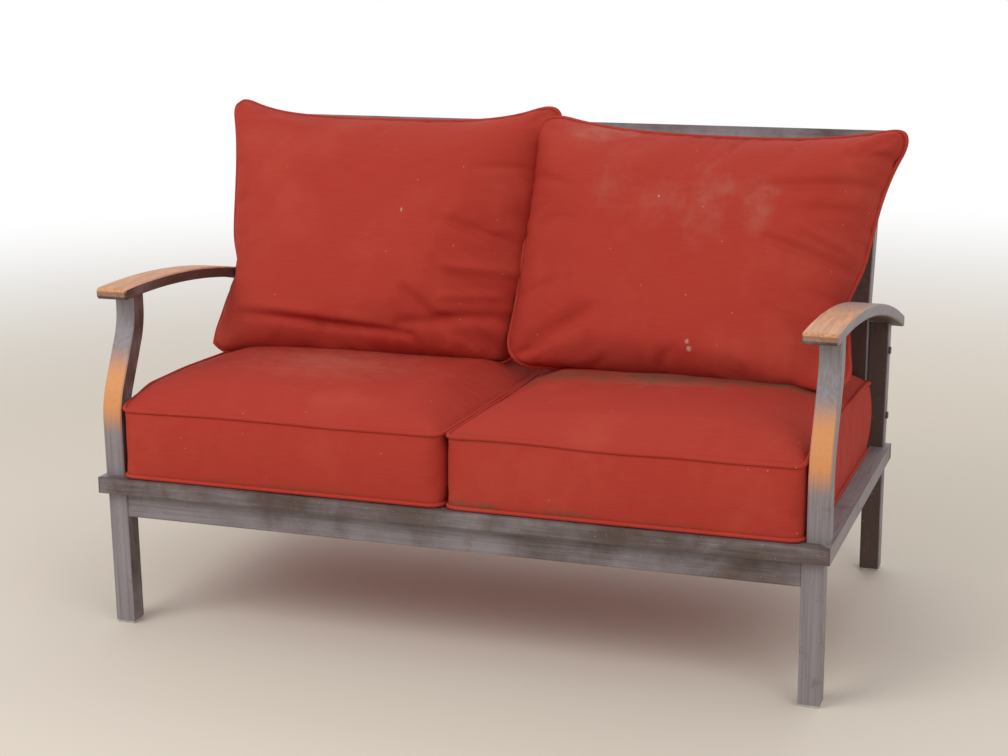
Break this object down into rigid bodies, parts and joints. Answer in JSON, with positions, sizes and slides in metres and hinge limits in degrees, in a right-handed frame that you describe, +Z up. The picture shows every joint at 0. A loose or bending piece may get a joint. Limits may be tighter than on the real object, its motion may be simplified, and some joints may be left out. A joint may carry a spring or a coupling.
{
  "type": "patio loveseat",
  "caption": "Patio loveseat with a square-tube metal frame, arched arms on S-curved posts, a raked slat back, loose box seat cushions and loose back pillows.",
  "frame": {"origin": "On the ground under the foot glides, in the middle of the overall width and depth", "axes": "+Z up, -Y towards the front of the seat, +X to the right as seen from the front"},
  "size_m": [1.3758, 0.8488, 0.9037],
  "materials": {
    "bronze_frame": "dark bronze paint with pewter brushed over it, semi-matte",
    "brushed_arm": "dark bronze paint with copper and pewter brushed along it, semi-gloss",
    "bolt_steel": "dark bronze paint",
    "glide_plastic": "pale moulded plastic",
    "terracotta_fabric": "woven outdoor fabric, terracotta red, matte"
  },
  "bodies": {
    "frame": {"front_seat_rail": "bronze_frame", "right_seat_rail": "bronze_frame", "left_seat_rail": "bronze_frame", "rear_seat_rail": "bronze_frame", "front_apron": "bronze_frame", "front_right_leg": "bronze_frame", "front_left_leg": "bronze_frame", "rear_right_leg": "bronze_frame", "rear_left_leg": "bronze_frame", "foot_glides": "glide_plastic", "seat_slat_1": "bronze_frame", "seat_slat_2": "bronze_frame", "seat_slat_3": "bronze_frame", "seat_slat_4": "bronze_frame", "seat_slat_5": "bronze_frame", "seat_slat_6": "bronze_frame", "seat_slat_7": "bronze_frame", "seat_slat_8": "bronze_frame", "right_armrest": "brushed_arm", "left_armrest": "brushed_arm", "right_front_post": "bronze_frame", "left_front_post": "bronze_frame", "right_rear_post": "bronze_frame", "left_rear_post": "bronze_frame", "right_back_stile": "bronze_frame", "left_back_stile": "bronze_frame", "back_top_rail": "bronze_frame", "back_lower_rail": "bronze_frame", "back_slat_1": "bronze_frame", "back_slat_2": "bronze_frame", "back_slat_3": "bronze_frame", "back_slat_4": "bronze_frame", "back_slat_5": "bronze_frame", "back_slat_6": "bronze_frame", "back_slat_7": "bronze_frame", "back_slat_8": "bronze_frame", "back_slat_9": "bronze_frame", "back_frame_bolts": "bolt_steel"},
    "right_seat": {"right_seat_cushion": "terracotta_fabric"},
    "left_seat": {"left_seat_cushion": "terracotta_fabric"},
    "right_back": {"right_back_pillow": "terracotta_fabric"},
    "left_back": {"left_back_pillow": "terracotta_fabric"}
  },
  "joints": [
    {"name": "right_seat_cushion_slide", "type": "slide", "parent": "frame", "child": "right_seat", "axis": [0, -0.9992, 0.041], "range_m": [0, 0.72]},
    {"name": "left_seat_cushion_slide", "type": "slide", "parent": "frame", "child": "left_seat", "axis": [0, -0.9992, 0.041], "range_m": [0, 0.72]},
    {"name": "right_back_pillow_lift", "type": "slide", "parent": "frame", "child": "right_back", "axis": [0, 0, 1], "range_m": [0, 0.5]},
    {"name": "left_back_pillow_lift", "type": "slide", "parent": "frame", "child": "left_back", "axis": [0, 0, 1], "range_m": [0, 0.5]}
  ]
}
